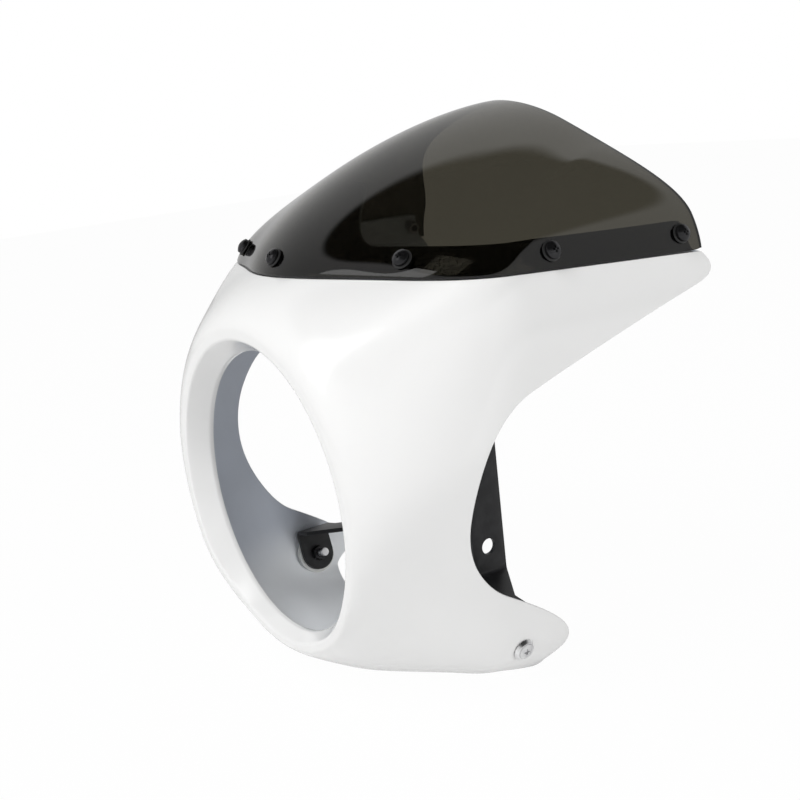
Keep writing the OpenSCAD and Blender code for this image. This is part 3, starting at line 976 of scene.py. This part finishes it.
class COWL_OT_screen_screws(bpy.types.Operator):
    """Build the windscreen's domed screws with their washers and nuts"""
    bl_idname = "cowl.screen_screws"
    bl_label = "Screen screws"

    def execute(self, context):
        sizes = context.scene.cowl_fasteners
        r, shank = sizes.head / 2, sizes.thread / 2
        places = [aim(p, n) for p, n in screw_places()]
        base = SEAT + WASHER_T
        back = -FLANGE_BACK - BACK_WASHER_T
        end = back - NUT_H - SCREW_OVER

        def screw(bm, m):
            profile = [(0, end), (shank - TIP_CHAMFER, end), (shank, end + TIP_CHAMFER), (shank, base)]
            profile += [(r - 0.0004, base), (r - 0.0001, base + 0.0002)]
            profile += [(r, base + 0.0004), (r, base + FLANK_H - 0.0003)]
            profile += [(x, z + base + FLANK_H) for x, z in dome(r - 0.0001, HEAD_H - FLANK_H, 14)]
            first = len(bm.verts)
            lathe(bm, profile, 96, m)
            bm.verts.ensure_lookup_table()
            inverse = m.inverted()
            for v in bm.verts[first:]:
                local = inverse @ v.co
                out = math.hypot(local.x, local.y)
                if abs(out - r) < 0.00002 and base < local.z < base + FLANK_H:
                    groove = RIB_DEPTH * (1 - abs(math.sin(RIBS * math.atan2(local.y, local.x))))
                    local.xy *= 1 - groove / out
                    v.co = m @ local

        heads = bmesh.new()
        crosses = bmesh.new()
        for m in places:
            screw(heads, m)
            cross_cutter(crosses, m, base + HEAD_H)
        heads = from_bmesh("screen_screws_domed", heads, 40)
        cut(heads, to_mesh("crosses", crosses))
        resharpen(heads, 40)
        hold(heads, "black_steel", "screen_screws", materials=[
            coated_metal("black_screw_steel", (0.035, 0.035, 0.037), 0.24, 0.85)])

        zinc = coated_metal("zinc_steel", (0.42, 0.42, 0.43), 0.34, 1.0)
        rubber = soft_plastic("black_rubber", (0.018, 0.018, 0.018), 0.5)
        soft = soft_ring(SCREEN_HOLE, sizes.washer / 2, SEAT, SEAT + WASHER_T, WASHER_ROUND)
        flat = ring(SCREEN_HOLE, BACK_WASHER_R, back, back + BACK_WASHER_T, RING_CHAMFER)
        nut = ring(shank + 0.00005, NUT_W / 2, back - NUT_H, back, NUT_CHAMFER)
        for name, slot, node, profile, steps, sharp, finish in (
                ("screen_washers_soft", "black_rubber", "screen_washers", soft, 56, 50, rubber),
                ("flange_washers_dressed", "zinc_steel", "flange_washers", flat, 48, 28, zinc),
                ("screen_nuts_dressed", "zinc_steel", "screen_nuts", nut, 48, 28, zinc)):
            bm = at_each(places, lambda bm, m: lathe(bm, profile, steps, m, profile is nut))
            hold(from_bmesh(name, bm, sharp), slot, node, materials=[finish])
        return {"FINISHED"}


def dressed_copy(name, node, bevel, sharp=30):
    """Copy of a node's mesh with clean faces and softly bevelled edges."""
    bm = bmesh.new()
    bm.from_mesh(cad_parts[node].data)
    bmesh.ops.remove_doubles(bm, verts=bm.verts, dist=1e-6)
    bmesh.ops.dissolve_limit(bm, angle_limit=math.radians(1.5), verts=bm.verts, edges=bm.edges)
    obj = from_bmesh(name, bm, sharp)
    mod = obj.modifiers.new("bevel", "BEVEL")
    mod.width = bevel
    mod.segments = 3
    mod.limit_method = "ANGLE"
    mod.angle_limit = math.radians(sharp)
    mod.use_clamp_overlap = True
    mod.harden_normals = False
    apply_modifiers(obj)
    resharpen(obj, 50)
    return obj


class COWL_OT_stays(bpy.types.Operator):
    """Build the two bent steel stays with softened edges"""
    bl_idname = "cowl.stays"
    bl_label = "Stays"

    def execute(self, context):
        steel = coated_metal("black_painted_steel", (0.013, 0.013, 0.014), 0.42, 0.3, 700, 0.00012)
        for side in ("left", "right"):
            obj = dressed_copy(side + "_stay_bent", side + "_stay", 0.0005)
            hold(obj, "black_steel", side + "_stay", materials=[steel])
        return {"FINISHED"}


# Radius, thickness and rounding of a chin pad, and where its back lies under the skin
PAD_R, PAD_T, PAD_ROUND, PAD_BACK = 0.0148, 0.004, 0.0012, 0.0091


class COWL_OT_hardware(bpy.types.Operator):
    """Build the chin's turned pads, screws, cup washers and nuts"""
    bl_idname = "cowl.hardware"
    bl_label = "Chin hardware"

    def execute(self, context):
        r, c = PAD_R, PAD_ROUND
        profile = [
            (CHIN_HOLE, 0), (r - c, 0), (r - 0.3 * c, 0.3 * c), (r, c), (r, 0.0022), (r - 0.0008, 0.003),
            (r - 0.0038, PAD_T - 0.0003), (r - 0.0048, PAD_T), (CHIN_HOLE, PAD_T), (CHIN_HOLE, 0)]
        places = [aim(p, n) @ Matrix.Translation((0, 0, -PAD_BACK)) for p, n in chin_places()]
        pads = from_bmesh("chin_pads_turned", at_each(places, lambda bm, m: lathe(bm, profile, 72, m)), 40)
        hold(pads, "white_nylon", "chin_pads", materials=[
            soft_plastic("white_nylon", (0.74, 0.74, 0.72), 0.36)])

        bright = coated_metal("bright_steel", (0.8, 0.8, 0.81), 0.34, 1.0, 500, 0.00005)
        black = coated_metal("black_nut_steel", (0.03, 0.03, 0.032), 0.36, 0.7)
        for name, node, slot, finish, bevel in (
                ("chin_screws_dressed", "chin_screws", "bright_steel", bright, 0.00018),
                ("chin_cup_washers_dressed", "chin_cup_washers", "bright_steel", bright, 0.00025),
                ("chin_nuts_dressed", "chin_nuts", "black_steel", black, 0.0003)):
            hold(dressed_copy(name, node, bevel), slot, node, materials=[finish])
        return {"FINISHED"}


# Stage

# The camera's right and up, and the direction of the middle of the room's dark ceiling
RIGHT = Vector((0.5617, 0.8203, -0.1082))
UP = Vector((-0.1315, 0.2173, 0.9672))
DARK_CEILING = (0.271, -0.048, 0.961)
# Cosines from that direction at which the ceiling's edge begins and ends
CEILING_EDGE = (0.59, 0.63)
# How far the floor lies under the part, its white, and the share that glows to the camera
FLOOR_DROP, FLOOR_WHITE, FLOOR_SHOWN = 0.0005, (0.8, 0.8, 0.8), 0.98
# Each soft lamp: its setting, place, target and size
LAMPS = (
    ("low", (-0.2, -1.9, 0.5), (0, 0, 0), (1.4, 1.0)),
    ("side", (1.9, 0.6, 0.4), (0, 0.1, 0), (1.4, 1.0)),
    ("high", (0.1, -1.0, 1.9), (0, 0.1, 0), (1.2, 1.2)),
    ("window", (-0.30, -1.45, 1.25), (0.08, 0, 0.1), (0.55, 0.9)),
)


def light_path(tree, kind):
    return add_node(tree, "ShaderNodeLightPath", output=kind)


def see_through(tree):
    """1 for what the camera sees, straight or through the windscreen."""
    return light_path(tree, "Is Camera Ray").math("MAXIMUM", light_path(tree, "Is Transmission Ray"))


def area_lamp(name, where, target, size, power):
    """Soft lamp, of which only the window lamp is mirrored in the object's gloss."""
    data = bpy.data.lights.new(name, "AREA")
    data.shape = "RECTANGLE"
    data.size, data.size_y = size
    data.energy = power
    obj = new_object(name, data)
    obj.location = where
    obj.rotation_euler = (Vector(target) - Vector(where)).to_track_quat("-Z", "Y").to_euler()
    obj.visible_glossy = name == "window"


def add_camera(sizes):
    data = bpy.data.cameras.new("camera")
    data.lens, data.sensor_width = sizes.lens, 36
    data.clip_start, data.clip_end = 0.05, 60
    camera = new_object("camera", data)
    right = RIGHT.normalized()
    up = (UP - right * UP.dot(right)).normalized()
    rotation = Matrix((right, up, right.cross(up))).transposed()
    camera.matrix_world = Matrix.Translation(Vector(sizes.eye)) @ rotation.to_4x4()
    bpy.context.scene.camera = camera


def add_room(sizes):
    """White where the camera sees it, dimmer in gloss, and dark overhead there."""
    world = bpy.data.worlds.new("room")
    bpy.context.scene.world = world
    world.use_nodes = True
    tree = world.node_tree
    tree.nodes.clear()
    seen = see_through(tree)
    toward = add_node(tree, "ShaderNodeTexCoord", output="Generated")
    overhead = add_node(tree, "ShaderNodeVectorMath", {"operation": "DOT_PRODUCT"},
                        {0: toward, 1: DARK_CEILING}, "Value")
    mirrored = light_path(tree, "Is Glossy Ray")
    shown = sizes.mirrored * (1 - overhead.step(*CEILING_EDGE))
    room = mirrored * shown + (1 - mirrored) * sizes.ambient
    surface(world, add_node(tree, "ShaderNodeBackground", {}, {
        "Color": (1, 1, 1), "Strength": seen + (1 - seen) * room}), "ShaderNodeOutputWorld")


def add_floor(sizes):
    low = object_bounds()[0][2]
    bm = bmesh.new()
    bmesh.ops.create_grid(bm, x_segments=24, y_segments=24, size=4)
    for v in bm.verts:
        v.co.z = low - FLOOR_DROP
    floor = from_bmesh("floor", bm, 60)
    made = bpy.data.materials.new("floor_white")
    made.use_nodes = True
    tree = made.node_tree
    tree.nodes.clear()
    matt = add_node(tree, "ShaderNodeBsdfDiffuse", {}, {"Color": FLOOR_WHITE})
    glow = add_node(tree, "ShaderNodeEmission", {}, {"Color": (1, 1, 1), "Strength": 1.0})
    share = (see_through(tree) * FLOOR_SHOWN).math("MAXIMUM", sizes.glow)
    surface(made, add_node(tree, "ShaderNodeMixShader", {}, {0: share, 1: matt, 2: glow}),
            "ShaderNodeOutputMaterial")
    floor.data.materials.append(made)
    floor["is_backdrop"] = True


class COWL_OT_stage(bpy.types.Operator):
    """Set up the camera, the pale floor, the room's light and the lamps"""
    bl_idname = "cowl.stage"
    bl_label = "Stage"

    def execute(self, context):
        sizes = context.scene.cowl_stage
        add_camera(sizes)
        add_room(sizes)
        add_floor(sizes)
        for name, where, target, size in LAMPS:
            area_lamp(name, where, target, size, getattr(sizes, name))
        context.scene.view_settings.view_transform = "Standard"
        return {"FINISHED"}


STEPS = ("shell", "windscreen", "screen_screws", "stays", "hardware", "stage")


class COWL_PT_panel(bpy.types.Panel):
    """Settings and build steps of the headlight cowl"""
    bl_idname = "COWL_PT_panel"
    bl_label = "Headlight cowl"
    bl_space_type = "VIEW_3D"
    bl_region_type = "UI"
    bl_category = "Cowl"

    def draw(self, context):
        for name in GROUPS:
            group = getattr(context.scene, name)
            box = self.layout.box()
            for key in group.bl_rna.properties.keys():
                if key not in {"rna_type", "name"}:
                    box.prop(group, key)
        for step in STEPS:
            self.layout.operator("cowl." + step)


GROUPS = {
    "cowl_shell": CowlShellSettings,
    "cowl_windscreen": WindscreenSettings,
    "cowl_fasteners": FastenerSettings,
    "cowl_stage": StageSettings,
}
CLASSES = (
    *GROUPS.values(),
    COWL_OT_shell,
    COWL_OT_windscreen,
    COWL_OT_screen_screws,
    COWL_OT_stays,
    COWL_OT_hardware,
    COWL_OT_stage,
    COWL_PT_panel,
)


def register():
    for cls in CLASSES:
        bpy.utils.register_class(cls)
    for name, group in GROUPS.items():
        setattr(bpy.types.Scene, name, bpy.props.PointerProperty(type=group))


def unregister():
    for name in GROUPS:
        delattr(bpy.types.Scene, name)
    for cls in reversed(CLASSES):
        bpy.utils.unregister_class(cls)


def main():
    register()
    for step in STEPS:
        getattr(bpy.ops.cowl, step)()


if __name__ == "__main__":
    main()
